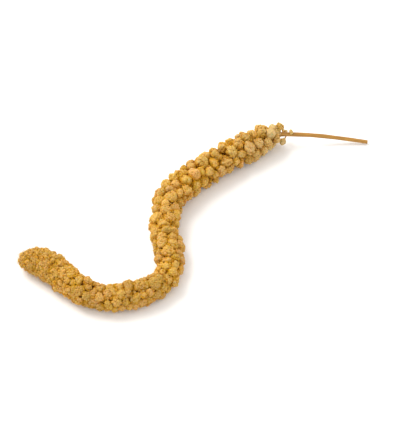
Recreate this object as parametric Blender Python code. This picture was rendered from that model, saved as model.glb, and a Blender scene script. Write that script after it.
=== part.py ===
# A dried head of foxtail millet, cut with a length of its stalk and lying on a table.
# Two pieces: the seed head, whose rounded clusters grow out of one pith core that follows
# a bent centre line, and the straw stalk that runs on from the head's neck.
# Metres, +Z up, the table at z = 0 and the origin under the middle of the whole.

import math
import random

import bmesh
import bpy
import numpy as np
from mathutils import Quaternion, Vector

MM = 0.001

# The stalk's centre line, from its cut end to the neck: x, y and height, in mm
STALK_LINE = [
    (113.0, 69.5, 1.7),
    (93.0, 70.5, 4.6),
    (73.0, 70.0, 8.0),
]
STALK_RADIUS = (1.25, 1.5)  # at the cut end and at the neck, mm
# The head's centre line, from its neck to its tip: x, y, height and outer radius, in mm
HEAD_LINE = [
    (54.0, 68.5, 10.2, 3.6),
    (47.5, 66.8, 10.3, 8.0),
    (40.0, 63.0, 10.1, 10.2),
    (16.0, 46.5, 10.1, 10.7),
    (-6.0, 29.0, 10.1, 10.7),
    (-19.5, 10.5, 9.9, 10.5),
    (-22.5, -10.5, 9.4, 10.0),
    (-19.5, -27.5, 8.9, 9.5),
    (-18.5, -42.5, 8.5, 9.1),
    (-24.5, -54.5, 8.3, 8.9),
    (-37.0, -62.5, 8.2, 8.8),
    (-52.0, -65.5, 8.2, 8.8),
    (-67.0, -63.5, 8.3, 8.9),
    (-81.0, -53.5, 8.7, 9.3),
    (-94.0, -42.0, 9.1, 9.8),
    (-104.0, -38.0, 8.8, 9.3),
    (-112.5, -37.0, 8.2, 4.0),
]
LINE_STEP = 0.5             # spacing of the points read from the smooth centre line, mm
CURVE_STEPS = 60            # points worked out between two given ones

CLUSTER_WIDTH = (3.6, 3.1)  # half width of a cluster at the neck and at the tip, mm
WIDTH_JITTER = 0.08         # as a share of the width
WIDEST = 0.62               # no half width passes this share of the head's radius there
CLUSTER_LENGTH = 1.2        # half length of a cluster, in half widths
CLUSTER_AREA = (50.0, 42.0)  # skin that each cluster covers, at the neck and at the tip, mm2
CLUSTER_SIDES = 5
CLUSTER_RINGS = 3
TURN = math.radians(137.5)  # the angle from each cluster to the next round the core
TURN_JITTER = 0.16          # radians
REACH_JITTER = 0.45         # mm
SLIDE_JITTER = 0.7          # mm
LEAN = math.radians(14)     # how far a cluster leans towards the tip
TIP_LEAN = math.radians(70)
TIP_STRETCH = 14.0          # the last stretch, over which the clusters turn to face the tip, mm
FIRST_CLUSTER = 5.5         # from the neck, mm
SLIMMEST = 3.0              # the least radius that the spacing is worked out for, mm
SEED = 7

CORE_DEPTH = (3.3, 2.9)     # how far the core lies below the clusters' ends, neck and tip, mm
CORE_STEP = 9.0             # mm
CORE_NECK = 2.2             # core radius at the neck, mm
CORE_SHORT = 3.5            # the core stops this far before the tip, mm

STALK_GAP = 0.3             # clearance between the stalk and the core it carries, mm
STALK_STEP = 5.0            # mm
TUBE_RESOLUTION = 2         # eight sides round
WELD = 0.01                 # mm

TABLE_CUTTER = (400.0, 400.0, 20.0)  # mm, its top at z = 0
SHARP = math.radians(50)

HEAD_COLOUR = (0.50, 0.27, 0.055, 1.0)
HEAD_ROUGHNESS = 0.75
STRAW_COLOUR = (0.60, 0.38, 0.13, 1.0)
STRAW_ROUGHNESS = 0.55


def clear_scene():
    for old in list(bpy.data.objects):
        bpy.data.objects.remove(old)


def new_collection(name):
    collection = bpy.data.collections.new(name)
    bpy.context.scene.collection.children.link(collection)
    return collection


def plain_material(name, colour, roughness):
    material = bpy.data.materials.new(name)
    material.use_nodes = True
    shader = material.node_tree.nodes["Principled BSDF"]
    shader.inputs["Base Color"].default_value = colour
    shader.inputs["Roughness"].default_value = roughness
    shader.inputs["Metallic"].default_value = 0.0
    material.diffuse_color = colour
    return material


def smooth_line(points):
    """Points LINE_STEP apart on a Catmull-Rom curve through the given ones, with their arc lengths."""
    given = np.array(points)
    given = np.vstack([2 * given[0] - given[1], given, 2 * given[-1] - given[-2]])
    fine = []
    for before, start, end, after in zip(given, given[1:], given[2:], given[3:]):
        t = np.linspace(0.0, 1.0, CURVE_STEPS, endpoint=False)[:, None]
        fine.append(
            start
            + t * (end - before) / 2
            + t**2 * (2 * before - 5 * start + 4 * end - after) / 2
            + t**3 * (3 * start - before - 3 * end + after) / 2
        )
    fine = np.vstack(fine + [given[-2][None]])
    run = np.linalg.norm(np.diff(fine[:, :3], axis=0), axis=1)
    arc = np.concatenate([[0.0], np.cumsum(run)])
    even = np.arange(0.0, arc[-1], LINE_STEP)
    return even, np.stack([np.interp(even, arc, column) for column in fine.T], axis=1)


class CentreLine:
    """The stalk and head as one smooth line, measured in mm from the neck towards the tip."""

    def __init__(self):
        neck_radius = HEAD_LINE[0][3]
        stalk_rows = [(*point, neck_radius) for point in STALK_LINE]
        arc, self.rows = smooth_line(stalk_rows + HEAD_LINE)
        neck = np.array(HEAD_LINE[0][:3])
        at_neck = np.linalg.norm(self.rows[:, :3] - neck, axis=1).argmin()
        self.arc = arc - arc[at_neck]
        self.start = self.arc[0]
        self.length = self.arc[-1]

    def row(self, along):
        return [float(np.interp(along, self.arc, column)) for column in self.rows.T]

    def point(self, along):
        return Vector(self.row(along)[:3]) * MM

    def radius(self, along):
        return self.row(along)[3] * MM

    def frame(self, along):
        """The unit vectors along the line, level across it, and up from it."""
        ahead = (self.point(along + 1.0) - self.point(along - 1.0)).normalized()
        across = Vector((0, 0, 1)).cross(ahead).normalized()
        return ahead, across, ahead.cross(across)


def between(pair, share):
    return pair[0] + (pair[1] - pair[0]) * share


def tube_mesh(name, stations):
    """A capped tube through (point, radius) stations, made as a curve and then turned to a mesh."""
    curve = bpy.data.curves.new(name, "CURVE")
    curve.dimensions = "3D"
    curve.bevel_depth = 1.0
    curve.bevel_resolution = TUBE_RESOLUTION
    curve.use_fill_caps = True
    spline = curve.splines.new("POLY")
    spline.points.add(len(stations) - 1)
    for target, (point, radius) in zip(spline.points, stations):
        target.co = (*point, 1.0)
        target.radius = radius
    drawn = bpy.data.objects.new(name, curve)
    bpy.context.scene.collection.objects.link(drawn)
    graph = bpy.context.evaluated_depsgraph_get()
    mesh = bpy.data.meshes.new_from_object(drawn.evaluated_get(graph))
    bpy.data.objects.remove(drawn)
    welded = bmesh.new()
    welded.from_mesh(mesh)
    bmesh.ops.remove_doubles(welded, verts=welded.verts, dist=WELD * MM)
    bmesh.ops.recalc_face_normals(welded, faces=welded.faces)
    welded.to_mesh(mesh)
    welded.free()
    return mesh


def core_mesh(line):
    """The pith that the clusters stand out of: slim at the neck, then a set depth inside the skin."""
    end = line.length - CORE_SHORT
    count = round(end / CORE_STEP)
    stations = []
    for i in range(count + 1):
        along = end * i / count
        depth = between(CORE_DEPTH, along / line.length) * MM
        radius = max(CORE_NECK * MM, line.radius(along) - depth)
        stations.append((line.point(along), radius))
    return tube_mesh("core", stations)


def cluster_mesh():
    """A few-sided ball of radius 1, with its poles on Z."""
    ball = bmesh.new()
    bmesh.ops.create_uvsphere(
        ball, u_segments=CLUSTER_SIDES, v_segments=CLUSTER_RINGS, radius=1.0
    )
    mesh = bpy.data.meshes.new("cluster")
    ball.to_mesh(mesh)
    ball.free()
    return mesh


def add_clusters(line, collection):
    """Clusters one golden turn apart, spaced so that each covers its share of the head's skin."""
    mesh = cluster_mesh()
    draw = random.Random(SEED)
    along = FIRST_CLUSTER
    number = 0
    while along < line.length:
        share = along / line.length
        reach = line.radius(along)
        width = between(CLUSTER_WIDTH, share) * MM
        width *= draw.uniform(1 - WIDTH_JITTER, 1 + WIDTH_JITTER)
        width = min(width, reach * WIDEST)
        length = width * CLUSTER_LENGTH
        at = along + draw.uniform(-SLIDE_JITTER, SLIDE_JITTER)
        turn = number * TURN + draw.uniform(-TURN_JITTER, TURN_JITTER)
        ahead, across, up = line.frame(at)
        out = across * math.cos(turn) + up * math.sin(turn)
        to_tip = max(0.0, 1 - (line.length - along) / TIP_STRETCH)
        lean = between((LEAN, TIP_LEAN), to_tip)
        axis = out * math.cos(lean) + ahead * math.sin(lean)
        end = line.point(at) + out * (reach + draw.uniform(-REACH_JITTER, REACH_JITTER) * MM)
        cluster = bpy.data.objects.new(f"cluster.{number:03d}", mesh)
        cluster.rotation_mode = "QUATERNION"
        spin = Quaternion((0, 0, 1), draw.uniform(0, math.tau))
        cluster.rotation_quaternion = axis.to_track_quat("Z", "X") @ spin
        cluster.location = end - axis * length
        cluster.scale = (width, width, length)
        collection.objects.link(cluster)
        number += 1
        along += between(CLUSTER_AREA, share) / (math.tau * max(reach / MM, SLIMMEST))
    return number


def apply_modifiers(piece):
    """Replaces the object's mesh by what its modifiers make of it."""
    graph = bpy.context.evaluated_depsgraph_get()
    made = bpy.data.meshes.new_from_object(piece.evaluated_get(graph))
    piece.modifiers.clear()
    piece.data = made


def keep_outer_skin(mesh):
    """Keeps the largest closed skin, so that sealed hollows are filled and loose scraps dropped."""
    body = bmesh.new()
    body.from_mesh(mesh)
    unseen = set(body.verts)
    skins = []
    while unseen:
        frontier = [unseen.pop()]
        skin = set(frontier)
        while frontier:
            for edge in frontier.pop().link_edges:
                for vert in edge.verts:
                    if vert in unseen:
                        unseen.remove(vert)
                        skin.add(vert)
                        frontier.append(vert)
        skins.append(skin)
    skins.sort(key=len)
    spare = [vert for skin in skins[:-1] for vert in skin]
    bmesh.ops.delete(body, geom=spare, context="VERTS")
    body.to_mesh(mesh)
    body.free()


def seed_head(line, parts, cutters):
    """The core and every cluster joined into one body, then cut flat at the table."""
    head = bpy.data.objects.new("seed_head", core_mesh(line))
    parts.objects.link(head)
    clusters = new_collection("clusters")
    number = add_clusters(line, clusters)
    join = head.modifiers.new("join clusters", "BOOLEAN")
    join.operation = "UNION"
    join.operand_type = "COLLECTION"
    join.collection = clusters
    join.solver = "EXACT"
    apply_modifiers(head)
    for cluster in list(clusters.objects):
        bpy.data.objects.remove(cluster)
    bpy.data.collections.remove(clusters)
    keep_outer_skin(head.data)

    bpy.ops.mesh.primitive_cube_add(size=1.0, location=(0, 0, -TABLE_CUTTER[2] * MM / 2))
    table = bpy.context.object
    table.name = "table_cutter"
    table.scale = Vector(TABLE_CUTTER) * MM
    for owner in list(table.users_collection):
        owner.objects.unlink(table)
    cutters.objects.link(table)
    table.hide_render = True
    table.display_type = "WIRE"
    rest = head.modifiers.new("rest on the table", "BOOLEAN")
    rest.operation = "DIFFERENCE"
    rest.object = table
    rest.solver = "EXACT"
    print(f"{number} clusters on a head {line.length:.0f} mm long")
    return head


def stalk(line, parts):
    """The straw stalk, from its cut end up to the core's neck."""
    end = -STALK_GAP
    count = round((end - line.start) / STALK_STEP)
    stations = []
    for i in range(count + 1):
        share = i / count
        along = between((line.start, end), share)
        stations.append((line.point(along), between(STALK_RADIUS, share) * MM))
    piece = bpy.data.objects.new("stem", tube_mesh("stem", stations))
    parts.objects.link(piece)
    return piece


def main():
    clear_scene()
    parts = new_collection("foxtail_millet_head")
    cutters = new_collection("cutters")
    line = CentreLine()
    head = seed_head(line, parts, cutters)
    straw = stalk(line, parts)
    head.data.materials.append(plain_material("dried millet", HEAD_COLOUR, HEAD_ROUGHNESS))
    straw.data.materials.append(plain_material("straw", STRAW_COLOUR, STRAW_ROUGHNESS))
    for piece in (head, straw):
        piece.data.shade_smooth()
        piece.data.set_sharp_from_angle(angle=SHARP)


main()
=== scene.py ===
# A dried foxtail millet head on a pale table: the grains of the golden spike, the husk litter and
# bristles between them and the straw stalk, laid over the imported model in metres.
import math

import bpy
import numpy as np
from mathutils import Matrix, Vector


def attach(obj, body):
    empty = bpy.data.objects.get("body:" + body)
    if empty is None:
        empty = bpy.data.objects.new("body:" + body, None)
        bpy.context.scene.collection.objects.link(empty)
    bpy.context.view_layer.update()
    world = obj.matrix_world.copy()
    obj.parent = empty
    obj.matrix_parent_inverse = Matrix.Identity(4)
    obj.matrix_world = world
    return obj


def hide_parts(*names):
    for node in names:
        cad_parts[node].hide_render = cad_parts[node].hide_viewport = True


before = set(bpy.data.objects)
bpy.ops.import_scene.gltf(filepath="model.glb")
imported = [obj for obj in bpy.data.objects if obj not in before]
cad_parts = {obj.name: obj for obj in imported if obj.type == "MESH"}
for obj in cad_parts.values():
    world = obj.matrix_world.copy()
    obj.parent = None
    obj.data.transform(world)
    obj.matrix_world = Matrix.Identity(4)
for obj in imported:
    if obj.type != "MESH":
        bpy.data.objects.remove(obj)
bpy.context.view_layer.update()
mm = 0.001
goldenAngle = math.pi * (3 - math.sqrt(5))

# Shared centre line, as the model has it: x, y and height in mm, and for the head its outer radius
centreLine = {
    "stalk": [(113.0, 69.5, 1.7), (93.0, 70.5, 4.6), (73.0, 70.0, 8.0)],
    "head": [
        (54.0, 68.5, 10.2, 3.6), (47.5, 66.8, 10.3, 8.0), (40.0, 63.0, 10.1, 10.2),
        (16.0, 46.5, 10.1, 10.7), (-6.0, 29.0, 10.1, 10.7), (-19.5, 10.5, 9.9, 10.5),
        (-22.5, -10.5, 9.4, 10.0), (-19.5, -27.5, 8.9, 9.5), (-18.5, -42.5, 8.5, 9.1),
        (-24.5, -54.5, 8.3, 8.9), (-37.0, -62.5, 8.2, 8.8), (-52.0, -65.5, 8.2, 8.8),
        (-67.0, -63.5, 8.3, 8.9), (-81.0, -53.5, 8.7, 9.3), (-94.0, -42.0, 9.1, 9.8),
        (-104.0, -38.0, 8.8, 9.3), (-112.5, -37.0, 8.2, 4.0),
    ],
    "curveSteps": 60,  # between two given points
    "step": 0.25,  # mm between the points read from the smooth line
    "endSteps": 4,  # of these, for its direction past the tip
    "reach": 1.0,  # mm to either side, for its direction
}


def smoothLine(points):
    # Between p and q, with a before them and b after: p + t (q-a)/2 + t^2 (2a-5p+4q-b)/2
    # + t^3 (3p-a-3q+b)/2. Then points an even step apart along its length.
    given = np.array(points, float)
    given = np.vstack([2 * given[0] - given[1], given, 2 * given[-1] - given[-2]])
    t = np.linspace(0, 1, centreLine["curveSteps"], endpoint=False)[:, None]
    a, p, q, b = (given[i:len(given) - 3 + i, None] for i in range(4))
    fine = p + t * (q - a) / 2 + t**2 * (2 * a - 5 * p + 4 * q - b) / 2
    fine = fine + t**3 * (3 * p - a - 3 * q + b) / 2
    fine = np.vstack([fine.reshape(-1, given.shape[1]), given[-2]])
    arc = np.append(0, np.cumsum(np.linalg.norm(np.diff(fine[:, :3], axis=0), axis=1)))
    even = np.arange(0, arc[-1], centreLine["step"])
    return even, np.stack([np.interp(even, arc, column) for column in fine.T], axis=1)


neckRow = centreLine["head"][0]
stalkRows = [(*point, neckRow[3]) for point in centreLine["stalk"]]
lineArc, lineRows = smoothLine(stalkRows + centreLine["head"])
neckIndex = np.linalg.norm(lineRows[:, :3] - neckRow[:3], axis=1).argmin()
lineArc = lineArc - lineArc[neckIndex]
stalkStart = lineArc[0]
headLength = lineArc[-1]
print(f"centre line: head {headLength:.0f} mm, stalk {-stalkStart:.0f} mm")


def unit(v):
    # v over its own length
    return v / np.maximum(np.linalg.norm(v, axis=-1, keepdims=True), 1e-12)


def sideAxes(axis, other):
    # Three directions square to one another: unit(axis x other), axis x that one, and the axis
    first = unit(np.cross(axis, other))
    return np.stack([first, np.cross(axis, first), axis], axis=1)


def linePoint(s):
    # The centre line's point at arc length s, in mm; past the tip it runs straight on
    inside = np.stack([np.interp(s, lineArc, lineRows[:, i]) for i in range(3)], axis=-1)
    end = unit(lineRows[-1, :3] - lineRows[-1 - centreLine["endSteps"], :3])
    return inside + np.maximum(s - headLength, 0)[..., None] * end


def lineFrame(s):
    # Along the line by central difference, level across it, and the cross product of the two
    ahead = unit(linePoint(s + centreLine["reach"]) - linePoint(s - centreLine["reach"]))
    across = unit(np.cross([0.0, 0.0, 1.0], ahead))
    return ahead, across, np.cross(ahead, across)


def lineTurn(s, turn):
    # Out from the line, across cos turn + up sin turn, and round it, up cos turn - across sin turn
    _, across, up = lineFrame(s)
    cos, sin = np.cos(turn)[:, None], np.sin(turn)[:, None]
    return across * cos + up * sin, up * cos - across * sin


def toLinear(hexCode):
    # sRGB to linear: c/12.92 up to 0.04045, above it ((c+0.055)/1.055)^2.4
    c = np.array([int(hexCode[i:i + 2], 16) / 255 for i in (1, 3, 5)])
    linear = np.where(c <= 0.04045, c / 12.92, ((c + 0.055) / 1.055) ** 2.4)
    return (*linear.tolist(), 1.0)


def addNode(tree, kind, output, inputs=None, stops=(), **settings):
    # A node with its settings and links, and the output of it that others link from. An input is a
    # value or such an output. Stops are a colour ramp's, at least two, as (place, hex).
    node = tree.nodes.new("ShaderNode" + kind)
    for name, value in settings.items():
        setattr(node, name, value)
    for name, value in (inputs or {}).items():
        if isinstance(value, bpy.types.NodeSocket):
            tree.links.new(value, node.inputs[name])
        else:
            node.inputs[name].default_value = value
    for _ in stops[2:]:
        node.color_ramp.elements.new(0.5)
    for k, (place, hexCode) in enumerate(stops):
        node.color_ramp.elements[k].position = place
        node.color_ramp.elements[k].color = toLinear(hexCode)
    return node.outputs[output]


def newMaterial(name, roughness, **values):
    # A material whose shader has these values
    material = bpy.data.materials.new(name)
    material.use_nodes = True
    shader = material.node_tree.nodes["Principled BSDF"]
    shader.inputs["Roughness"].default_value = roughness
    for key, value in values.items():
        shader.inputs[key].default_value = value
    return material, material.node_tree, shader


def newPiece(name, points, corners, counts, material, attributes, uv=None,
             slot="dried_millet", replaced="seed_head"):
    # A mesh piece from whole arrays: points in mm, each face's corners in a row, and how many it has
    mesh = bpy.data.meshes.new(name)
    mesh.vertices.add(len(points))
    mesh.vertices.foreach_set("co", (points * mm).astype(np.float32).ravel())
    mesh.loops.add(len(corners))
    mesh.loops.foreach_set("vertex_index", corners.astype(np.int32))
    mesh.polygons.add(len(counts))
    mesh.polygons.foreach_set("loop_start", (np.cumsum(counts) - counts).astype(np.int32))
    mesh.polygons.foreach_set("use_smooth", np.ones(len(counts), bool))
    mesh.update(calc_edges=True)
    for key, values in attributes.items():
        kind, field = ("FLOAT", "value") if values.ndim == 1 else ("FLOAT_VECTOR", "vector")
        layer = mesh.attributes.new(key, kind, "POINT")
        layer.data.foreach_set(field, values.astype(np.float32).ravel())
    if uv is not None:
        mesh.uv_layers.new(name="OFBake").data.foreach_set("uv", uv.astype(np.float32).ravel())
    mesh.materials.append(material)
    piece = bpy.data.objects.new(name, mesh)
    bpy.context.scene.collection.objects.link(piece)
    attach(piece, "root")
    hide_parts(replaced)
    print(f"{name}: {int((counts - 2).sum())} triangles")


def roundAngles(sides):
    # Even angles round a ring: 2 pi x number / sides
    return np.arange(sides) / sides * 2 * np.pi


def ringFaces(rings, sides):
    # The places in a ring of points, the next ones round it, and the faces from each ring to the next
    i = np.arange(sides)
    j = (i + 1) % sides
    row = (np.arange(rings - 1) * sides)[:, None, None]
    return i, j, np.stack([i, j, j + sides, i + sides], axis=1) + row


def spikeFaces(rings, sides):
    # A flat foot, the bands between the rings, and the faces round a point at the end
    i, j, bands = ringFaces(rings, sides)
    last = (rings - 1) * sides
    cap = np.stack([i + last, j + last, np.full(sides, rings * sides)], axis=1)
    corners = np.concatenate([i[::-1], bands.ravel(), cap.ravel()])
    return corners, np.repeat([sides, 4, 3], [1, last, sides])


def copyFaces(corners, counts, copies, each):
    # The faces of many copies of one shape, whose points follow one another
    return (corners + np.arange(copies)[:, None] * each).ravel(), np.tile(counts, copies)


def turnProfile(radius, height, sides):
    # Rings round Z, one after another: x = radius cos angle, y = radius sin angle, z = height
    angle = roundAngles(sides)
    rings = [
        np.outer(radius, np.cos(angle)),
        np.outer(radius, np.sin(angle)),
        np.outer(height, np.ones(sides)),
    ]
    return np.stack(rings, axis=-1).reshape(-1, 3)


def closedFaces(rings, sides, turned=False):
    # The bands between the rings, and the faces round a point at each end
    i, j, bands = ringFaces(rings, sides)
    if turned:
        i, j, bands = j, i, bands[..., [0, 3, 2, 1]]
    last = (rings - 1) * sides
    near = np.stack([j, i, np.full(sides, rings * sides)], axis=1)
    far = np.stack([i + last, j + last, np.full(sides, rings * sides + 1)], axis=1)
    corners = np.concatenate([bands.ravel(), near.ravel(), far.ravel()])
    return corners, np.repeat([4, 3], [last, 2 * sides])


def ballGrid(rings, sides):
    # Unit ball: rings of points from its top to its bottom, then those two points
    polar = np.arange(1, rings + 1) / (rings + 1) * np.pi
    middle = turnProfile(np.sin(polar), np.cos(polar), sides)
    points = np.vstack([middle, [0, 0, 1], [0, 0, -1]])
    return points, *closedFaces(rings, sides, turned=True)


def tubeGrid(centre, across, up, radii):
    # Closed tube: centre + radius (across cos + up sin) round each station, with a point at each end
    angle = roundAngles(radii.shape[1])[:, None]
    ring = across[:, None] * np.cos(angle) + up[:, None] * np.sin(angle)
    rings = centre[:, None] + radii[..., None] * ring
    return np.vstack([rings.reshape(-1, 3), centre[0], centre[-1]]), *closedFaces(*radii.shape)


# Lobes: the rounded clusters of grains, large and loose at the neck, fine and close at the tip.
# A list with nine values has one for each place in "along".
lobes = {
    "seed": 29,
    "along": [0, 45, 80, 115, 150, 190, 215, 240, 264],  # mm from the neck
    "across": [7.1, 7.1, 7.5, 8.3, 8.1, 7.4, 6.3, 4.9, 4.1],  # mm, a lobe's width with its grains
    "widthSpread": [0.18, 0.18, 0.16, 0.12, 0.12, 0.18, 0.22, 0.2, 0.16],
    "spreadLimits": (-1.9, 2.2),  # of a width, in spreads
    "overlap": [-0.04, -0.02, 0.06, 0.24, 0.27, 0.32, 0.36, 0.42, 0.44],  # share of the width
    "stretch": [1.44, 1.44, 1.3, 1.1, 1.05, 1.05, 1.05, 1.05, 1.05],  # length over width
    "stretchSpread": 0.12,
    "squashSpread": 0.09,  # how far its two widths differ
    "squashLimits": (-0.25, 0.3),
    "taper": [0.14, 0.14, 0.12, 0.06, 0.06, 0.05, 0.0, 0.0, 0.0],  # towards its outer end
    "taperSpread": 0.06,
    "turn": 137.5,  # degrees round the head from one to the next
    "fill": 1.08,  # how many are set, against a close row of balls
    "nudge": (0.2, 0.35),  # chance moves: along in widths, round in radians
    "reachSpread": 0.1,  # of the width, in or out
    "lean": [28, 28, 24, 16, 14, 14, 14, 14, 12],  # degrees towards the tip
    "leanSpread": [14, 14, 11, 8, 8, 9, 10, 10, 10],
    "leanLimits": (-20, 65),
    "sideLimits": (-40, 40),  # degrees of lean sideways
    "ends": (2.5, 0.3),  # mm from the neck and from the tip
    "countStep": 0.1,  # mm, for counting them
    "leastRing": 1.0,  # mm, of the ring that their middles lie on
    "relaxTurns": 80,
    "relaxPush": 0.3,  # share of each overlap that one turn takes away
    "slopeSteps": (0.2, 0.01),  # mm along and radians round
    "leastSlopes": (0.3, 0.5),  # of the slopes' squares
    "deepest": 0.8,  # share of the skin's radius, for their middles
    "grainRise": 0.42,  # mm that the grains stand out of the lobe's own body
    "lumps": [0.066, 0.066, 0.06, 0.045, 0.045, 0.055, 0.06, 0.05, 0.04],  # swells, share of its size
    "waves": [2.0, 2.0, 4.4, 4.4, 4.4],  # how fast its five swells come
    "neckRadius": [(0, 6.5), (4, 8.3), (9, 9.8), (16, 10.4)],  # mm from the neck, mm
    "tipRadius": [(238, 9.9), (246, 9.7), (252, 8.9), (257, 7.4), (261, 5.2), (263.5, 2.2), (264.2, 0.4)],
}

# Small lobes that stand alone below the neck, each on a short branch from the stalk
strays = {
    "along": [-9.0, -6.2, -3.8, -1.8, 0.4],  # mm from the neck
    "turn": [75, 205, 330, 120, 250],  # degrees round the stalk
    "across": [3.1, 3.8, 4.6, 5.2, 5.4],  # mm
    "shape": [1.0, 0.95, 1.15],  # its two widths and its length, against across
    "reach": [3.4, 4.4, 5.0, 5.4, 5.6],  # mm from the stalk's middle to the lobe's
    "forward": 2.6,  # mm nearer the tip than its branch
    "branchRadius": 0.42,  # mm
    "branchTaper": (1.25, 0.5),  # of that radius: at its foot, and lost by its end
    "branchGrid": (7, 8),  # stations and sides
}
draw = np.random.default_rng(lobes["seed"])


def alongHead(s, name, table=lobes):
    # A table's value at s, straight between its places
    return np.interp(s, table["along"], table[name])


def skinRadius(s):
    # The line's own outer radius, but fuller at the neck and rounded off at the tip
    radius = np.interp(s, lineArc, lineRows[:, 3])
    neck, tip = np.array(lobes["neckRadius"]), np.array(lobes["tipRadius"])
    radius = np.where(s < neck[-1, 0], np.interp(s, *neck.T), radius)
    return np.where(s > tip[0, 0], np.interp(s, *tip.T), radius)


def skinPoint(s, turn, depth):
    # Centre line + (radius - depth) x the way out from it
    return linePoint(s) + (skinRadius(s) - depth)[:, None] * lineTurn(s, turn)[0]


def closeCell(pitch):
    # The area that each of many points has in close rows: pitch^2 x root 3 / 2
    return pitch**2 * math.sqrt(3) / 2


def placeLobes():
    # Turns by the golden angle up the line, spaced by the room each lobe takes, loosened by a nudge,
    # then pushed apart as balls that all touch the skin from inside and share only their overlap
    low, high = lobes["ends"][0], lobes["tipRadius"][-1][0] - lobes["ends"][1]
    fine = np.arange(low, high, lobes["countStep"])
    wide = alongHead(fine, "across")
    pitch = wide * (1 - alongHead(fine, "overlap"))
    room = 2 * np.pi * np.maximum(skinRadius(fine) - wide / 2, lobes["leastRing"])
    counted = np.cumsum(room / closeCell(pitch) * lobes["countStep"]) * lobes["fill"]
    number = int(counted[-1])
    s = np.interp(np.arange(number) + 0.5, counted, fine)
    turn = np.arange(number) * math.radians(lobes["turn"])
    s = s + draw.normal(0, lobes["nudge"][0], number) * alongHead(s, "across")
    turn = turn + draw.normal(0, lobes["nudge"][1], number)
    spread = draw.normal(0, 1, number).clip(*lobes["spreadLimits"])
    ds, dTurn = lobes["slopeSteps"]
    leastS, leastTurn = lobes["leastSlopes"]
    for _ in range(lobes["relaxTurns"]):
        s = np.clip(s, low, high)
        wide = alongHead(s, "across") * (1 + spread * alongHead(s, "widthSpread"))
        share = wide * (1 - alongHead(s, "overlap"))
        depth = np.minimum(wide / 2, skinRadius(s) * lobes["deepest"])
        here = skinPoint(s, turn, depth)
        apart = here[:, None] - here
        gap = np.linalg.norm(apart, axis=-1)
        np.fill_diagonal(gap, np.inf)
        wanted = (share[:, None] + share) / 2
        crowd = np.clip(1 - gap / wanted, 0, 1) * wanted
        push = (apart / gap[..., None] * crowd[..., None]).sum(axis=1) * lobes["relaxPush"]
        # The push goes into s and turn by the skin's slopes: push . slope / slope^2
        alongS = (skinPoint(s + ds, turn, depth) - skinPoint(s - ds, turn, depth)) / (2 * ds)
        alongTurn = (skinPoint(s, turn + dTurn, depth) - skinPoint(s, turn - dTurn, depth)) / (2 * dTurn)
        s = s + (push * alongS).sum(-1) / np.maximum((alongS**2).sum(-1), leastS)
        turn = turn + (push * alongTurn).sum(-1) / np.maximum((alongTurn**2).sum(-1), leastTurn)
    return np.clip(s, low, high), turn, wide


def shapeLobes(s, turn, wide):
    # Each lobe is an ellipsoid whose long axis is the skin's normal leant towards the tip. It touches
    # the skin from inside: its centre lies under the skin by its own extent along the normal, which
    # is the root of the sum of (half size x (normal . axis))^2.
    number, ds, forward = len(s), 0.3, 0.3
    ahead = lineFrame(s)[0]
    out, around = lineTurn(s, turn)
    alongS = unit(skinPoint(s + ds, turn, 0) - skinPoint(s - ds, turn, 0))
    normal = unit(np.cross(around, alongS))
    outwards = np.sign((normal * (out + forward * ahead)).sum(-1, keepdims=True))
    normal = normal * outwards
    spread = alongHead(s, "leanSpread")
    lean = (alongHead(s, "lean") + draw.normal(0, 1, number) * spread).clip(*lobes["leanLimits"])
    side = (draw.normal(0, 1, number) * spread).clip(*lobes["sideLimits"])
    lean, side = np.tan(np.radians(lean))[:, None], np.tan(np.radians(side))[:, None]
    axes = sideAxes(unit(normal + alongS * lean + around * side), ahead)
    half = wide / 2 - lobes["grainRise"]
    stretch = alongHead(s, "stretch") * (1 + draw.normal(0, lobes["stretchSpread"], number))
    squash = 1 + draw.normal(0, lobes["squashSpread"], number).clip(*lobes["squashLimits"])
    sizes = np.stack([half * squash, half / squash, half * stretch], axis=1)
    extent = np.sqrt(((np.einsum("nj,nkj->nk", normal, axes) * sizes) ** 2).sum(axis=1))
    depth = extent + lobes["grainRise"] - draw.normal(0, lobes["reachSpread"], number) * wide
    return skinPoint(s, turn, 0) - normal * depth[:, None], axes, sizes


def shapeStrays():
    # Each stray lobe: stalk point + reach x the way out + forward along the line
    s, foot = np.array(strays["along"]), linePoint(np.array(strays["along"]))
    ahead, out = lineFrame(s)[0], lineTurn(s, np.radians(strays["turn"]))[0]
    centre = foot + out * np.array(strays["reach"])[:, None] + ahead * strays["forward"]
    half = np.array(strays["across"]) / 2 - lobes["grainRise"]
    sizes = half[:, None] * np.array(strays["shape"])
    return s, foot, centre, sideAxes(unit(centre - foot), ahead), sizes


lobeS, lobeTurn, lobeWide = placeLobes()
lobeCentre, lobeAxes, lobeSizes = shapeLobes(lobeS, lobeTurn, lobeWide)
strayS, strayFoot, strayCentre, strayAxes, straySizes = shapeStrays()
lobeS = np.append(lobeS, strayS)
lobeCentre = np.vstack([lobeCentre, strayCentre])
lobeAxes = np.concatenate([lobeAxes, strayAxes])
lobeSizes = np.vstack([lobeSizes, straySizes])
lobeCount = len(lobeS)
print(f"lobes: {lobeCount}, of them {len(strayS)} below the neck")

# Each lobe's own swells: two broad waves and three short ones over its ball of directions
waves = np.array(lobes["waves"])
lobeWaves = draw.normal(0, 1, (lobeCount, len(waves), 3)) * waves[:, None]
lobeShift = draw.uniform(0, 2 * np.pi, (lobeCount, len(waves)))
lobeTaper = alongHead(lobeS, "taper") + draw.normal(0, lobes["taperSpread"], lobeCount)
lobeLumps = alongHead(lobeS, "lumps")[:, None]


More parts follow.
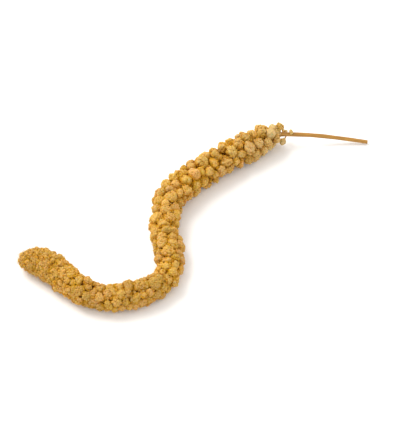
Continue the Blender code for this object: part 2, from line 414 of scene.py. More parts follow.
def lobeSurface(lobe, way):
    # Point and normal of a lobe in a direction of its own ball. The ball's radius is
    # 1 + lumps x sum of sin(wave . direction + shift), its width then falls as 1 - taper x z, and
    # the lobe's half sizes and axes stretch and turn it.
    phase = np.einsum("...ij,...j->...i", lobeWaves[lobe], way) + lobeShift[lobe]
    slope = np.einsum("...i,...ij->...j", np.cos(phase), lobeWaves[lobe]) * lobeLumps[lobe]
    slope = slope - (slope * way).sum(-1, keepdims=True) * way
    local = way * (1 + lobeLumps[lobe] * np.sin(phase).sum(-1, keepdims=True))
    narrow = 1 - lobeTaper[lobe] * way[..., 2]
    local = local * np.stack([narrow, narrow, np.ones_like(narrow)], axis=-1)
    normal = way - slope
    normal[..., 2] += lobeTaper[lobe] * (1 - way[..., 2] ** 2)
    point = lobeCentre[lobe] + np.einsum("...ij,...i->...j", lobeAxes[lobe], local * lobeSizes[lobe])
    return point, unit(np.einsum("...ij,...i->...j", lobeAxes[lobe], normal / lobeSizes[lobe]))


# Grains: seeds in their husks, set over each lobe with their pointed ends outwards
grains = {
    "seed": 23,
    "along": [0, 190, 225, 245, 264],  # mm from the neck
    "width": [2.0, 2.0, 1.85, 1.5, 1.3],  # mm across
    "spacing": [1.43, 1.43, 1.34, 1.08, 0.95],  # mm between neighbours on a lobe
    "sink": [0.74, 0.74, 0.76, 0.81, 0.83],  # share of its length inside the lobe
    "lengthShare": 0.85,  # of the width, from base to point
    "flatness": 0.93,  # its second width, of the first
    "sizeSpread": 0.10,
    "sizeLimits": (-0.2, 0.2),
    "lengthSpread": 0.06,
    "towardsEnd": 0.25,  # how far it leans from the lobe's normal to its axis
    "tiltSpread": 0.12,
    "jitter": 0.13,  # chance moves, of the spacing
    "unevenness": 0.035,  # mm in or out
    "fewest": 6,  # on a lobe
    "cover": 0.93,  # share of each lobe's height, from its end down, that carries grains
    "inside": 0.90,  # grains deeper than this share inside a neighbouring lobe are left out
    "core": 0.36,  # and those nearer the line than this share of the skin's radius,
    "openEnds": (6, 9),  # but not in the last mm at the neck and at the tip
    "leastSkin": 2.0,  # mm, of the skin's radius
    "rings": [(0.0, 0.6), (0.38, 1.0), (0.71, 0.91), (0.91, 0.6)],  # height and radius, as shares
    "sides": 6,
    "mapRings": [0.42, 0.32, 0.21, 0.11],  # radii of its rings on its square of the map
    "mapMiddle": 0.45,
    "mapFoot": (0.94, 0.04),  # place and radius of its foot there
    "parts": [("grainsNeck", -99), ("grainsUpper", 55), ("grainsMiddle", 115),
              ("grainsLower", 178), ("grainsTip", 222)],  # piece and where it starts, mm
    "nameSeed": 7,  # a piece's seed: this x its name's length + its grains
    "lowest": 0.9,  # mm: lower grains are pressed up
    "pressed": 0.35,  # mm that their middles may still lie lower
    "table": (0.04, 0.1),  # mm: how low its foot may lie, and its point above that
    "skyWays": 24,  # directions tried to see how open it lies
    "skyLobes": 14,  # nearest lobes that may stand in the way
    "hidden": 0.03,  # less open grains are left out
    "batch": 2000,  # points worked out at a time
}


def placeGrains():
    # A spiral of points on each lobe: height falls evenly from the lobe's end, the angle grows by the
    # golden angle, and each is then moved by chance. A lobe's area, which says how many it has, is
    # 4 pi x the mean of (ab)^p, (ac)^p and (bc)^p, to the power 1/p.
    draw = np.random.default_rng(grains["seed"])
    a, b, c = lobeSizes.T
    p = 1.6075
    area = 4 * np.pi * (((a * b) ** p + (a * c) ** p + (b * c) ** p) / 3) ** (1 / p)
    spacing = alongHead(lobeS, "spacing", grains)
    wanted = np.round(area * grains["cover"] / closeCell(spacing))
    count = np.maximum(grains["fewest"], wanted).astype(int)
    lobe = np.repeat(np.arange(lobeCount), count)
    k = np.arange(count.sum()) - np.repeat(np.cumsum(count) - count, count)
    z = 1 - 2 * grains["cover"] * (k + 0.5) / count[lobe]
    phase = draw.uniform(0, 2 * np.pi, lobeCount)
    angle = k * goldenAngle + phase[lobe]
    ring = np.sqrt(1 - z**2)
    way = np.stack([ring * np.cos(angle), ring * np.sin(angle), z], axis=1)
    loose = spacing[lobe, None] * grains["jitter"] / lobeSizes[lobe].mean(axis=1, keepdims=True)
    way = unit(way + draw.normal(0, 1, way.shape) * loose)
    spot, normal = lobeSurface(lobe, way)
    return lobe, spot + normal * draw.normal(0, grains["unevenness"], (len(lobe), 1)), normal


def insideOthers(spot, lobe):
    # For each grain, the smallest scaled distance (1 is the surface) to any lobe but its own
    nearest = np.empty(len(spot))
    for start in range(0, len(spot), grains["batch"]):
        part = slice(start, start + grains["batch"])
        offset = np.float32(spot[part, None]) - np.float32(lobeCentre)
        local = np.einsum("nkj,kij->nki", offset, np.float32(lobeAxes))
        depth = np.linalg.norm(local / np.float32(lobeSizes), axis=-1)
        depth[np.arange(len(depth)), lobe[part]] = np.inf
        nearest[part] = depth.min(axis=1)
    return nearest


def fromLine(spot, lobe):
    # How far a grain lies from the centre line, as a share of the skin's radius there
    ahead = lineFrame(lobeS)[0][lobe]
    off = spot - linePoint(lobeS)[lobe]
    off = off - (off * ahead).sum(-1, keepdims=True) * ahead
    return np.linalg.norm(off, axis=1) / np.maximum(skinRadius(lobeS)[lobe], grains["leastSkin"])


# Its result is painted into the husks' and lobe bodies' colours as shade
def openness(spot, lobe, normal):
    # How open each point lies to the sky: the share of directions about its normal, thickest along
    # it, that miss the lobes around. In a lobe's own frame the lobe is the unit ball, and a ray
    # o + t d meets it where (o.d)^2 - |d|^2 (|o|^2 - 1) > 0 and the far root lies ahead.
    k = np.arange(grains["skyWays"]) + 0.5
    reach = np.sqrt(k / grains["skyWays"])
    angle = k * goldenAngle
    fan = np.stack([reach * np.cos(angle), reach * np.sin(angle), np.sqrt(1 - reach**2)], axis=1)
    # A helper that isn't the normal's own direction: up, or X where the normal is nearly upright
    helper = np.where(np.abs(normal[:, 2:]) < 0.9, [[0.0, 0, 1]], [[1.0, 0, 0]])
    basis = np.float32(sideAxes(normal, helper))
    toBall = np.float32(lobeAxes / lobeSizes[..., None])
    sky = np.empty(len(spot))
    for start in range(0, len(spot), grains["batch"]):
        part = slice(start, start + grains["batch"])
        far = np.linalg.norm(spot[part, None] - lobeCentre, axis=-1)
        far[np.arange(len(far)), lobe[part]] = np.inf
        near = np.argsort(far, axis=1)[:, :grains["skyLobes"]]
        way = np.einsum("dk,nkj->ndj", np.float32(fan), basis[part])
        offset = np.float32(spot[part, None] - lobeCentre[near])
        origin = np.einsum("nmij,nmj->nmi", toBall[near], offset)
        turned = np.einsum("nmij,ndj->nmdi", toBall[near], way)
        along = np.einsum("nmi,nmdi->nmd", origin, turned)
        length2 = (turned**2).sum(-1)
        root = along**2 - length2 * ((origin**2).sum(-1) - 1)[..., None]
        hit = (root > 0) & (np.sqrt(np.maximum(root, 0)) > along)
        sky[part] = 1 - hit.any(axis=1).mean(axis=1)
    return sky


# Colours of the husks by how open they lie, a painted shade, and how much each cause changes their
# brightness
husk = {
    # Both ramps are painted shade: deep brown where a grain lies shut in between lobes, pale where it lies
    # open
    "golden": [(0.0, "#562D00"), (0.12, "#7B4800"), (0.4, "#A06B02"), (0.82, "#BD8C18"), (1.0, "#C69C47")],
    "peach": [(0.0, "#5A2F01"), (0.12, "#804901"), (0.4, "#A66908"), (0.82, "#C48A2A"), (1.0, "#CC9B5A")],
    "faded": "#C8AC76",
    # By mm from the neck: how far openness moves to 1, easing the painted shade, share of faded husks, and
    # lift of the tone
    "paintedShadeEase": ([0, 90, 115, 145, 165, 195, 215, 240, 264], [0.14, 0.24, 0.13, 0.05, 0.02, 0, 0, 0.08, 0.12]),
    "fade": ([0, 15, 40, 70, 120], [0.6, 0.4, 0.2, 0.1, 0.04]),
    "lift": ([0, 50, 160, 200, 230, 264], [0.2, 0.34, 0.0, -0.25, 0.1, 0.2]),
    "evenedOver": 1.1,  # mm over which grains share their openness
    "evenedShare": 0.7,  # how much of it is shared
    "evenedLift": 1.12,  # makes up for what open grains lose
    "fadedDraw": (0.35, 1.3),  # least of it on a lobe, and what chance adds
    "fadedSpread": 0.04,  # of single grains
    "lobeSeed": 5,
    "lobeDraw": (0.1, 0.9),  # a lobe's tone
    "lobeShade": (0.84, 1.10),
    "hueDraw": (1.6, 2.2),  # beta draw of a lobe's hue, golden to peach
    "hueSpread": 0.15,  # of single grains, about their lobe's
    "drift": 0.16,  # strength of a slow change of tone
    "driftWaves": [(37.0, 1.0), (23.0, 4.0)],  # its lengths in mm and their shifts
    "grainDraw": (0.5, 0.2),  # a grain's tone: middle and spread
    "grainShade": (0.94, 1.06),
    # Painted shade at each grain's foot, where its neighbours crowd it
    "footPaintedShade": (0.9, 1.0),
    "bleachedGrains": (0.035, 0.4),  # share of all, and how much paler: empty husks
    "brownGrains": (0.02, 0.4),  # share of all, and how far down the ramp: unripe ones
    "witherFrom": 0.94,  # height at which its point starts to wither
    "witherShade": (1.0, 0.7),
    "mottleShade": (0.95, 1.05),
    "mottle": 0.5,  # mm
    "wrinkle": 0.3,  # mm between the shell's wrinkles
    "wrinkleDepth": 0.05,  # mm
}


def evenOut(values, spot, lobe):
    # Each grain takes a share of its value from its neighbours on the lobe, weighted by
    # exp(-distance^2 / 2 reach^2): the painted shade changes smoothly over a lobe
    evened = values.copy()
    for one in range(lobeCount):
        mine = np.flatnonzero(lobe == one)
        apart2 = ((spot[mine, None] - spot[mine]) ** 2).sum(-1)
        weight = np.exp(-apart2 / (2 * husk["evenedOver"] ** 2))
        evened[mine] = weight @ values[mine] / weight.sum(axis=1)
    return (values + (evened - values) * husk["evenedShare"]) * husk["evenedLift"]


def visibleGrains():
    # Grains sunk in another lobe, down by the rachis or out of sight are left out. Those near the
    # table are pressed up: height = lowest - pressed x tanh((lowest - height) / lowest).
    lobe, spot, normal = placeGrains()
    s, (neckEnd, tipEnd) = lobeS[lobe], grains["openEnds"]
    kept = insideOthers(spot, lobe) > grains["inside"]
    kept &= (fromLine(spot, lobe) > grains["core"]) | (s > headLength - tipEnd) | (s < neckEnd)
    lobe, spot, normal = lobe[kept], spot[kept], normal[kept]
    sky = openness(spot, lobe, normal)
    kept = sky > grains["hidden"]
    sky = evenOut(sky, spot, lobe)
    lobe, spot, normal, sky = lobe[kept], spot[kept], normal[kept], sky[kept]
    lowest = grains["lowest"]
    pressed = lowest - grains["pressed"] * np.tanh((lowest - spot[:, 2]) / lowest)
    spot[:, 2] = np.where(spot[:, 2] < lowest, pressed, spot[:, 2])
    print(f"grains: {len(spot)}, and {len(kept) - len(spot)} out of sight")
    return lobe, spot, normal, sky


def lobeShades():
    # Each lobe's tone, hue and paleness by seeded draws. The tone also has a lift by its place and a
    # slow drift, strength x sum of sin(2 pi s / length + shift), and the paleness fades from the neck.
    draw = np.random.default_rng(husk["lobeSeed"])
    drift = sum(np.sin(lobeS / length * 2 * np.pi + shift) for length, shift in husk["driftWaves"])
    tone = draw.uniform(*husk["lobeDraw"], lobeCount) + husk["drift"] * drift
    tone = tone + np.interp(lobeS, *husk["lift"])
    hue = draw.beta(*husk["hueDraw"], lobeCount)
    least, more = husk["fadedDraw"]
    pale = np.interp(lobeS, *husk["fade"])
    return tone, hue, pale * (least + more * draw.uniform(0, 1, lobeCount))


grainLobe, grainSpot, grainNormal, grainOpen = visibleGrains()
lobeTone, lobeHue, lobePale = lobeShades()


def huskMaterial():
    # Dry millet husk, the papery shells that grow round each grain, with painted shade by how open each
    # grain lies: pale straw on the open side of a lobe, golden on its flanks, deep brown in the shade
    # between lobes, faded straw kept to open grains as a painted sheen, and painted shade at each grain's
    # foot. Matt, with almost no shine and a little light passing through the thin shell.
    material, tree, shader = newMaterial("dryMilletHusk", 0.55, **{
        "Specular IOR Level": 0.04,
        "Subsurface Weight": 0.35,
        "Subsurface Radius": (1.0, 0.45, 0.15),
        "Subsurface Scale": 0.9 * mm,
    })
    read = {}
    for name in ("open", "tone", "lobeTone", "lobeHue", "rise", "pale"):
        read[name] = addNode(tree, "Attribute", "Fac", attribute_name=name)
    # Painted shade: both ramps give the colour by how open the grain lies
    golden = addNode(tree, "ValToRGB", "Color", {"Fac": read["open"]}, husk["golden"])
    peach = addNode(tree, "ValToRGB", "Color", {"Fac": read["open"]}, husk["peach"])
    # A Mix node's two colours are its inputs 6 and 7, and its colour is output 2
    hue = addNode(tree, "Mix", 2, {"Factor": read["lobeHue"], 6: golden, 7: peach}, data_type="RGBA")
    inputs = {"Factor": read["pale"], 6: hue, 7: toLinear(husk["faded"])}
    faded = addNode(tree, "Mix", 2, inputs, data_type="RGBA")
    coords, scale = addNode(tree, "TexCoord", "Object"), 1 / (husk["mottle"] * mm)
    mottle = addNode(tree, "TexNoise", "Fac", {"Vector": coords, "Scale": scale, "Detail": 3.0})
    # Brightness = lobe's own x grain's own x painted shade at its foot x fine mottling x a withered point
    shade = 1.0
    for source, start, (low, high) in (
        (read["lobeTone"], 0.0, husk["lobeShade"]),
        (read["tone"], 0.0, husk["grainShade"]),
        (read["rise"], 0.0, husk["footPaintedShade"]),
        (mottle, 0.0, husk["mottleShade"]),
        (read["rise"], husk["witherFrom"], husk["witherShade"]),
    ):
        inputs = {"Value": source, "From Min": start, "To Min": low, "To Max": high}
        part = addNode(tree, "MapRange", "Result", inputs)
        shade = addNode(tree, "Math", "Value", {0: shade, 1: part}, operation="MULTIPLY")
    lit = addNode(tree, "VectorMath", "Vector", {0: faded, "Scale": shade}, operation="SCALE")
    tree.links.new(lit, shader.inputs["Base Color"])
    scale, depth = 1 / (husk["wrinkle"] * mm), husk["wrinkleDepth"] * mm
    wrinkles = addNode(tree, "TexNoise", "Fac", {"Vector": coords, "Scale": scale, "Detail": 2.0})
    bump = addNode(tree, "Bump", "Normal", {"Height": wrinkles, "Strength": 0.6, "Distance": depth})
    tree.links.new(bump, shader.inputs["Normal"])
    return material


def grainPoints(chosen, profile, draw):
    # point = spot + width r (e1 cos + e2 sin) + length (h - sink) axis, no lower than the table
    n, lobe = len(chosen), grainLobe[chosen]
    axis = grainNormal[chosen] + lobeAxes[lobe, 2] * grains["towardsEnd"]
    axis = unit(axis + draw.normal(0, grains["tiltSpread"], (n, 3)))
    e1, e2, axis = sideAxes(axis, unit(draw.normal(0, 1, (n, 3)))).swapaxes(0, 1)
    size = 1 + draw.normal(0, grains["sizeSpread"], (n, 1)).clip(*grains["sizeLimits"])
    wide = alongHead(lobeS[lobe], "width", grains)[:, None] / 2 * size
    long = 2 * wide * grains["lengthShare"] * (1 + draw.normal(0, grains["lengthSpread"], (n, 1)))
    sink = alongHead(lobeS[lobe], "sink", grains)
    points = (
        grainSpot[chosen, None]
        + e1[:, None] * (profile[:, :1] * wide[:, None])
        + e2[:, None] * (profile[:, 1:2] * wide[:, None] * grains["flatness"])
        + axis[:, None] * ((profile[:, 2:] - sink[:, None, None]) * long[:, None])
    )
    footHeight, rise = grains["table"]
    points[..., 2] = np.maximum(points[..., 2], footHeight + rise * profile[:, 2])
    return points.reshape(-1, 3)


def grainMap(n, corners):
    # Each grain has a square of the map, its rings unrolled round the middle and its foot in a corner
    sides, middle = grains["sides"], grains["mapMiddle"]
    radius = np.repeat(grains["mapRings"], sides)
    around = np.tile(roundAngles(sides), len(grains["mapRings"]))
    flat = np.stack([middle + radius * np.cos(around), middle + radius * np.sin(around)], axis=1)
    flat = np.vstack([flat, [middle, middle]])
    (place, footRadius), back = grains["mapFoot"], -roundAngles(sides)
    foot = np.stack([place + footRadius * np.cos(back), place + footRadius * np.sin(back)], axis=1)
    square = np.vstack([foot, flat[corners[sides:]]])
    across = math.ceil(math.sqrt(n))
    squareAt = np.stack([np.arange(n) % across, np.arange(n) // across], axis=1)
    return (square + squareAt[:, None]) / across


def grainShades(chosen, draw):
    # What the material reads of each grain: its lobe's values, changed by its own chance ones
    n, lobe, sky = len(chosen), grainLobe[chosen], grainOpen[chosen]
    evened = np.interp(lobeS[lobe], *husk["paintedShadeEase"])
    odd = draw.uniform(0, 1, n)
    brown = (odd > 1 - husk["brownGrains"][0]) * husk["brownGrains"][1]
    bleached = (odd < husk["bleachedGrains"][0]) * husk["bleachedGrains"][1]
    return {
        # open: how open it lies, eased along the head, for the painted shade; brown ones sit lower on its
        # ramp
        "open": sky + (1 - sky) * evened - brown,
        "tone": draw.normal(*husk["grainDraw"], n),
        "lobeTone": lobeTone[lobe],
        "lobeHue": lobeHue[lobe] + draw.normal(0, husk["hueSpread"], n),
        # pale: faded straw near the neck, kept to open grains as a painted sheen, with bleached ones added
        "pale": lobePale[lobe] * sky + draw.normal(0, husk["fadedSpread"], n) + bleached,
    }


def addGrains(material):
    # A grain is its profile turned round its axis, with a point at its outer end
    height, radius = np.array(grains["rings"]).T
    profile = np.vstack([turnProfile(radius, height, grains["sides"]), [[0, 0, 1]]])
    corners, counts = spikeFaces(len(height), grains["sides"])
    each = len(profile)
    starts = [start for _, start in grains["parts"]] + [math.inf]
    where = lobeS[grainLobe]
    for (name, start), end in zip(grains["parts"], starts[1:]):
        chosen = np.flatnonzero((where >= start) & (where < end))
        n = len(chosen)
        draw = np.random.default_rng(len(name) * grains["nameSeed"] + n)
        points = grainPoints(chosen, profile, draw)
        shades = grainShades(chosen, draw)
        attributes = {key: np.repeat(value.clip(0, 1), each) for key, value in shades.items()}
        attributes["rise"] = np.tile(profile[:, 2], n)
        faces = copyFaces(corners, counts, n, each)
        newPiece(name, points, *faces, material, attributes, grainMap(n, corners))


addGrains(huskMaterial())

# The husk litter round the rachis, dark between the lobes, and each lobe's own body, both coloured with
# painted shade by how open they lie
chaff = {
    "seed": 31,
    "depth": [6.4, 6.4, 5.8, 5.4, 4.8, 4.0, 3.4, 2.9, 2.6],  # mm under the skin, at the lobes' places
    "least": 1.4,  # mm, its radius at the neck
    "sides": 14,
    "stationStep": 2.0,  # mm
    "ripple": 0.35,  # mm
    "ends": (3.0, 1.5),  # mm from the neck and from the tip
    "lobeGap": 0.04,  # mm that a lobe's body lies under its grains' surface
    "lobeGrid": (6, 12),  # its rings and sides
    "lowest": (0.3, 0.25),  # mm above the table, of the litter and of the bodies
    "fleck": 1.0,  # mm
    "fleckShift": 0.25,  # how far a fleck moves the colour along the ramp
    # From painted shade, dark brown where shut in, to golden where open, along how open it lies
    "colours": [(0.0, "#432202"), (0.2, "#663B05"), (0.5, "#87570D"), (1.0, "#A37222")],
}


def chaffMaterial():
    # Dry chaff and husk bases packed between the grains: dull and rough, with painted shade, brown in the
    # shade between lobes and golden where a lobe lies open, with flecks a millimetre across
    material, tree, shader = newMaterial("huskLitter", 0.85, **{"Specular IOR Level": 0.1})
    coords, scale = addNode(tree, "TexCoord", "Object"), 1 / (chaff["fleck"] * mm)
    noise = addNode(tree, "TexNoise", "Fac", {"Vector": coords, "Scale": scale, "Detail": 3.0})
    inputs = {"Value": noise, "To Min": -chaff["fleckShift"], "To Max": chaff["fleckShift"]}
    fleck = addNode(tree, "MapRange", "Result", inputs)
    # Painted shade: how open it lies sets its place on the ramp
    lies = addNode(tree, "Attribute", "Fac", attribute_name="open")
    place = addNode(tree, "Math", "Value", {0: lies, 1: fleck}, operation="ADD")
    ramp = addNode(tree, "ValToRGB", "Color", {"Fac": place}, chaff["colours"])
    tree.links.new(ramp, shader.inputs["Base Color"])
    return material


def addLitter(material):
    # A rippled tube round the rachis: radius = skin - depth + ripple x chance
    draw = np.random.default_rng(chaff["seed"])
    start, short = chaff["ends"]
    s = np.arange(start, headLength - short, chaff["stationStep"])
    _, across, up = lineFrame(s)
    depth = np.interp(s, lobes["along"], chaff["depth"])
    radius = np.maximum(chaff["least"], skinRadius(s) - depth)[:, None]
    radius = radius + draw.uniform(-1, 1, (len(s), chaff["sides"])) * chaff["ripple"]
    points, *faces = tubeGrid(linePoint(s), across, up, radius)
    points[:, 2] = np.maximum(points[:, 2], chaff["lowest"][0])
    # Openness 0 everywhere: the darkest colour of the painted shade
    newPiece("innerChaff", points, *faces, material, {"open": np.zeros(len(points))})


def addHearts(material):
    # Each lobe's body: its surface, moved in along the normal by the gap
    way, *faces = ballGrid(*chaff["lobeGrid"])
    each = np.arange(lobeCount).repeat(len(way))
    points, normal = lobeSurface(each, np.tile(way, (lobeCount, 1)))
    points = points - normal * chaff["lobeGap"]
    # Painted shade: each point's openness sets its colour
    lies = openness(points, each, normal)
    points[:, 2] = np.maximum(points[:, 2], chaff["lowest"][1])
    newPiece("lobeHearts", points, *copyFaces(*faces, lobeCount, len(way)), material, {"open": lies})


litter = chaffMaterial()
addLitter(litter)
addHearts(litter)

# Bristles: the fine hairs that stand between the grains, thickest at the felted tip
bristles = {
    "seed": 41,
    "number": 3000,
    "along": [0, 60, 150, 215, 245, 264],  # mm from the neck
    "share": [0.25, 0.35, 0.5, 1.2, 2.2, 3.6],  # how thickly they stand there
    "length": [1.7, 1.8, 1.9, 2.1, 2.3, 2.9],  # mm
    "lengthSpread": (0.7, 1.25),
    "sides": 3,
    "radius": 0.075,  # mm at the root
    "taper": 0.45,  # of the radius, lost over its length
    "lean": 0.5,  # towards the tip, against the grain's own normal
    "stray": 0.38,
    "bend": 0.22,  # of its length, aside at its end
    "beside": 0.5,  # of the grains' spacing, from its grain's middle
    "root": 0.2,  # mm down among the grains
    "openest": 0.4,  # only grains more open than this have one
    "clear": 2.0,  # mm above the table, where they start
    "table": 0.05,  # mm above it, for the lowest
    "colours": [(0.0, "#A97A2C"), (0.6, "#CFA75A"), (1.0, "#DEC083")],
}


def bristleMaterial():
    # Dry plant hair: pale straw, a little shiny
    material, tree, shader = newMaterial("dryBristle", 0.5, **{"Specular IOR Level": 0.2})
    tone = addNode(tree, "Attribute", "Fac", attribute_name="tone")
    ramp = addNode(tree, "ValToRGB", "Color", {"Fac": tone}, bristles["colours"])
    tree.links.new(ramp, shader.inputs["Base Color"])
    return material


def addBristles(material):
    # Each is a spike on a bent line: root + way x length t + aside x length x bend t^2, with rings
    # at t = 0 and 0.5 and a point at t = 1
    draw = np.random.default_rng(bristles["seed"])
    n, s = bristles["number"], lobeS[grainLobe]
    free = (grainOpen > bristles["openest"]) & (grainSpot[:, 2] > bristles["clear"]) & (s > 0)
    chance = alongHead(s, "share", bristles) * free
    chosen = draw.choice(len(s), n, replace=False, p=chance / chance.sum())
    ahead, normal = lineFrame(s[chosen])[0], grainNormal[chosen]
    way = unit(normal + ahead * bristles["lean"] + draw.normal(0, bristles["stray"], (n, 3)))
    e1, e2, way = sideAxes(way, ahead).swapaxes(0, 1)
    turn = draw.uniform(0, 2 * np.pi, n)[:, None]
    aside = e1 * np.cos(turn) + e2 * np.sin(turn)
    beside = alongHead(s[chosen], "spacing", grains)[:, None] * bristles["beside"]
    root = grainSpot[chosen] + aside * beside - normal * bristles["root"]
    long = alongHead(s[chosen], "length", bristles) * draw.uniform(*bristles["lengthSpread"], n)
    t = np.array([0.0, 0.5])[None, :, None, None]
    angle = roundAngles(bristles["sides"])[:, None]
    ring = e1[:, None, None] * np.cos(angle) + e2[:, None, None] * np.sin(angle)
    ring = ring * bristles["radius"] * (1 - bristles["taper"] * t)
    curve = way[:, None, None] * t + aside[:, None, None] * bristles["bend"] * t**2
    line = root[:, None, None] + long[:, None, None, None] * curve
    end = root + long[:, None] * (way + aside * bristles["bend"])
    points = np.concatenate([(line + ring).reshape(n, -1, 3), end[:, None]], axis=1)
    points[..., 2] = np.maximum(points[..., 2], bristles["table"])
    each = points.shape[1]
    faces = copyFaces(*spikeFaces(t.size, bristles["sides"]), n, each)
    tone = np.repeat(draw.uniform(0, 1, n), each)
    newPiece("bristles", points.reshape(-1, 3), *faces, material, {"tone": tone})


addBristles(bristleMaterial())

# The straw stalk, with its ribs and its cut end
stalk = {
    "seed": 53,
    "radius": (1.25, 1.5),  # mm, at the cut end and at the neck
    "from": 0.25,  # mm from the cut end, where its even stations begin
    "runIn": 9.0,  # mm that it runs on into the head as the rachis
    "sides": 48,
    "stationStep": 0.8,  # mm
    "ribs": [(5, 0.022), (11, 0.016), (17, 0.012)],  # how many round it, and height, share of the radius
    "ribTurn": 0.006,  # turns of the ribs per mm
    "waver": 0.03,  # slow swelling along it, share of the radius
    "waverLength": 17.0,  # mm
    # The cut end: mm inwards along the stalk, and share of its radius
    "cutEnd": [(0.5, 0.0), (0.45, 0.35), (0.35, 0.6), (0.3, 0.72), (0.04, 0.8), (0.0, 0.88), (0.1, 0.97)],
    "pith": (0.9, 0.15, 0.85),  # in from this share of the radius, over this width, to this strength
    "fibre": 0.28,  # mm between its fibres
    "fibreLength": 14.0,  # mm
    "branchStretch": 6,  # how much longer than wide the branches' fibres are
    "fibreDepth": 0.06,  # mm
    "blotches": 110.0,  # per metre
    "blotchRange": (0.35, 0.7),  # of the noise, and the brightness that it gives
    "blotchShade": (0.82, 1.06),
    "colours": [(0.3, "#7C4A17"), (0.45, "#A6742A"), (0.6, "#BF8D42"), (0.75, "#CFA75D")],
    "pithColour": "#D9C08C",
}


def strawMaterial():
    # Dry grass culm, grown in fibres along its length: hard, smooth and faintly glossy, straw-coloured
    # with fine darker streaks, brown blotches a centimetre long, and paler pith at the cut
    material, tree, shader = newMaterial("dryStraw", 0.46, **{"Specular IOR Level": 0.35})
    fibre = addNode(tree, "Attribute", "Vector", attribute_name="fibre")
    inputs = {"Vector": fibre, "Scale": 1.0, "Detail": 4.0, "Roughness": 0.6}
    streak = addNode(tree, "TexNoise", "Fac", inputs)
    ramp = addNode(tree, "ValToRGB", "Color", {"Fac": streak}, stalk["colours"])
    coords, scale = addNode(tree, "TexCoord", "Object"), stalk["blotches"]
    blotch = addNode(tree, "TexNoise", "Fac", {"Vector": coords, "Scale": scale, "Detail": 2.0})
    (start, end), (low, high) = stalk["blotchRange"], stalk["blotchShade"]
    inputs = {"Value": blotch, "From Min": start, "From Max": end, "To Min": low, "To Max": high}
    darker = addNode(tree, "MapRange", "Result", inputs)
    shaded = addNode(tree, "VectorMath", "Vector", {0: ramp, "Scale": darker}, operation="SCALE")
    pith = addNode(tree, "Attribute", "Fac", attribute_name="pith")
    inputs = {"Factor": pith, 6: shaded, 7: toLinear(stalk["pithColour"])}
    mixed = addNode(tree, "Mix", 2, inputs, data_type="RGBA")
    tree.links.new(mixed, shader.inputs["Base Color"])
    depth = stalk["fibreDepth"] * mm
    bump = addNode(tree, "Bump", "Normal", {"Height": streak, "Strength": 0.5, "Distance": depth})
    tree.links.new(bump, shader.inputs["Normal"])
    return material


def addStalk(material):
    # A tube whose radius is its taper x (1 + waver sin) x (1 + ribs, each height x cos(number x
    # (angle + turn + phase))); the cut end goes in over the rim to a sunken disc of pith
    draw = np.random.default_rng(stalk["seed"])
    body = np.arange(stalkStart + stalk["from"], stalk["runIn"], stalk["stationStep"])
    inward, share = np.array(stalk["cutEnd"]).T
    s = np.append(stalkStart + inward, body)
    shrink = np.append(share, np.ones(len(body)))
    _, across, up = lineFrame(s)
    along = np.clip((s - stalkStart) / -stalkStart, 0, 1)
    cutRadius, neckRadius = stalk["radius"]
    radius = cutRadius + (neckRadius - cutRadius) * along
    radius = radius * (1 + stalk["waver"] * np.sin(s / stalk["waverLength"] * 2 * np.pi))
    angle = roundAngles(stalk["sides"])
    ribs = np.ones((len(s), stalk["sides"]))
    for number, height in stalk["ribs"]:
        turned = stalk["ribTurn"] * 2 * np.pi * s[:, None] + draw.uniform(0, 2 * np.pi)
        ribs += height * np.cos(number * (angle + turned))
    points, *faces = tubeGrid(linePoint(s), across, up, (radius * shrink)[:, None] * ribs)
    # Fibres: round the stalk in fibre widths, along it in fibre lengths
    wide = radius.mean() / stalk["fibre"] * shrink[:, None]
    lengths = s[:, None] / stalk["fibreLength"]
    fibre = np.broadcast_arrays(wide * np.cos(angle), wide * np.sin(angle), lengths)
    fibre = np.stack(fibre, axis=-1).reshape(-1, 3)
    ends = [[0, 0, lengths[0, 0]], [0, 0, lengths[-1, 0]]]
    start, over, most = stalk["pith"]
    pith = np.repeat(np.clip((start - shrink) / over, 0, 1) * most, stalk["sides"])
    attributes = {"fibre": np.vstack([fibre, ends]), "pith": np.append(pith, [most, 0])}
    newPiece("strawStalk", points, *faces, material, attributes, slot="straw", replaced="stem")


def addStrayBranches(material):
    # Each branch: a thin tube from the stalk's middle that bends towards its lobe along a parabola,
    # point = foot + out x reach t + ahead x forward t^2
    stations, sides = strays["branchGrid"]
    t = np.linspace(0, 1, stations)[:, None]
    wide, lost = strays["branchTaper"]
    radius = strays["branchRadius"] * np.repeat(wide - lost * t, sides, axis=1)
    ahead = lineFrame(strayS)[0]
    out = unit(strayCentre - strayFoot - ahead * strays["forward"])
    fibreSize = np.array([stalk["fibre"], stalk["fibre"], stalk["fibre"] * stalk["branchStretch"]])
    points, fibres = [], []
    for k in range(len(strayS)):
        path = strayFoot[k] + out[k] * (strays["reach"][k] * t) + ahead[k] * (strays["forward"] * t**2)
        along = unit(np.gradient(path, axis=0))
        across, up, _ = sideAxes(along, np.cross(out[k], ahead[k])).swapaxes(0, 1)
        grid, *faces = tubeGrid(path, across, up, radius)
        points.append(grid)
        fibres.append((grid - strayFoot[k]) / fibreSize)
    points = np.vstack(points)
    attributes = {"fibre": np.vstack(fibres), "pith": np.zeros(len(points))}
    newPiece("strayBranches", points, *copyFaces(*faces, len(strayS), len(grid)), material, attributes)


straw = strawMaterial()
addStalk(straw)
addStrayBranches(straw)

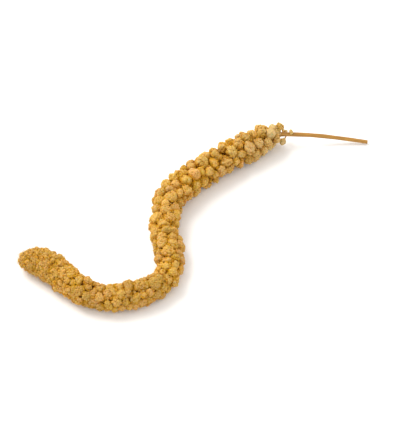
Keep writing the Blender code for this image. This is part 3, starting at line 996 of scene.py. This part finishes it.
# The table, the light and the camera
studio = {
    "elevation": 50.0,  # degrees above the table, looking along +Y
    "distance": 0.90,  # m
    "pixelsPerMm": 1.56,  # at the aim, in the 400 x 425 picture
    "longSide": 425,
    "sensor": 36.0,  # mm
    "aim": (0.0, 0.002, 0.008),
    "table": 6.0,  # m across
    "paper": "#F4F2EF",
    "skyStrength": 1.12,  # of the white light from all round
    "lampAt": (-0.75, 0.55, 1.15),
    "lampSize": 0.9,  # m
    "lampPower": 17.0,  # W
}


def addStudio():
    # Camera place = aim + distance (0, -cos elevation, sin elevation), focal length in pixels =
    # distance x pixels per mm, and the lamp looks at the origin
    scene = bpy.context.scene
    scene.view_settings.view_transform = "Standard"
    elevation = math.radians(studio["elevation"])
    camera = bpy.data.objects.new("camera", bpy.data.cameras.new("camera"))
    scene.collection.objects.link(camera)
    back = np.array([0, -math.cos(elevation), math.sin(elevation)])
    camera.location = np.array(studio["aim"]) + back * studio["distance"]
    camera.rotation_euler = (math.pi / 2 - elevation, 0, 0)
    focalPixels = studio["distance"] / mm * studio["pixelsPerMm"]
    camera.data.sensor_width = studio["sensor"]
    camera.data.lens = focalPixels / studio["longSide"] * studio["sensor"]
    scene.camera = camera

    # White paper, pressed from pulp: matt
    paper, _, shader = newMaterial("whitePaper", 0.9)
    shader.inputs["Base Color"].default_value = toLinear(studio["paper"])
    bpy.ops.mesh.primitive_plane_add(size=studio["table"], location=(0, 0, 0))
    floor = bpy.context.object
    floor.name = "tabletop"
    floor.data.materials.append(paper)

    scene.world = bpy.data.worlds.new("studioWorld")
    scene.world.use_nodes = True
    background = scene.world.node_tree.nodes["Background"]
    background.inputs["Color"].default_value = (1, 1, 1, 1)
    background.inputs["Strength"].default_value = studio["skyStrength"]
    lamp = bpy.data.lights.new("softbox", "AREA")
    lamp.size = studio["lampSize"]
    lamp.energy = studio["lampPower"]
    softbox = bpy.data.objects.new("softbox", lamp)
    scene.collection.objects.link(softbox)
    softbox.location = studio["lampAt"]
    softbox.rotation_euler = (-Vector(studio["lampAt"])).to_track_quat("-Z", "Y").to_euler()


addStudio()
print("studio: table, light and camera")
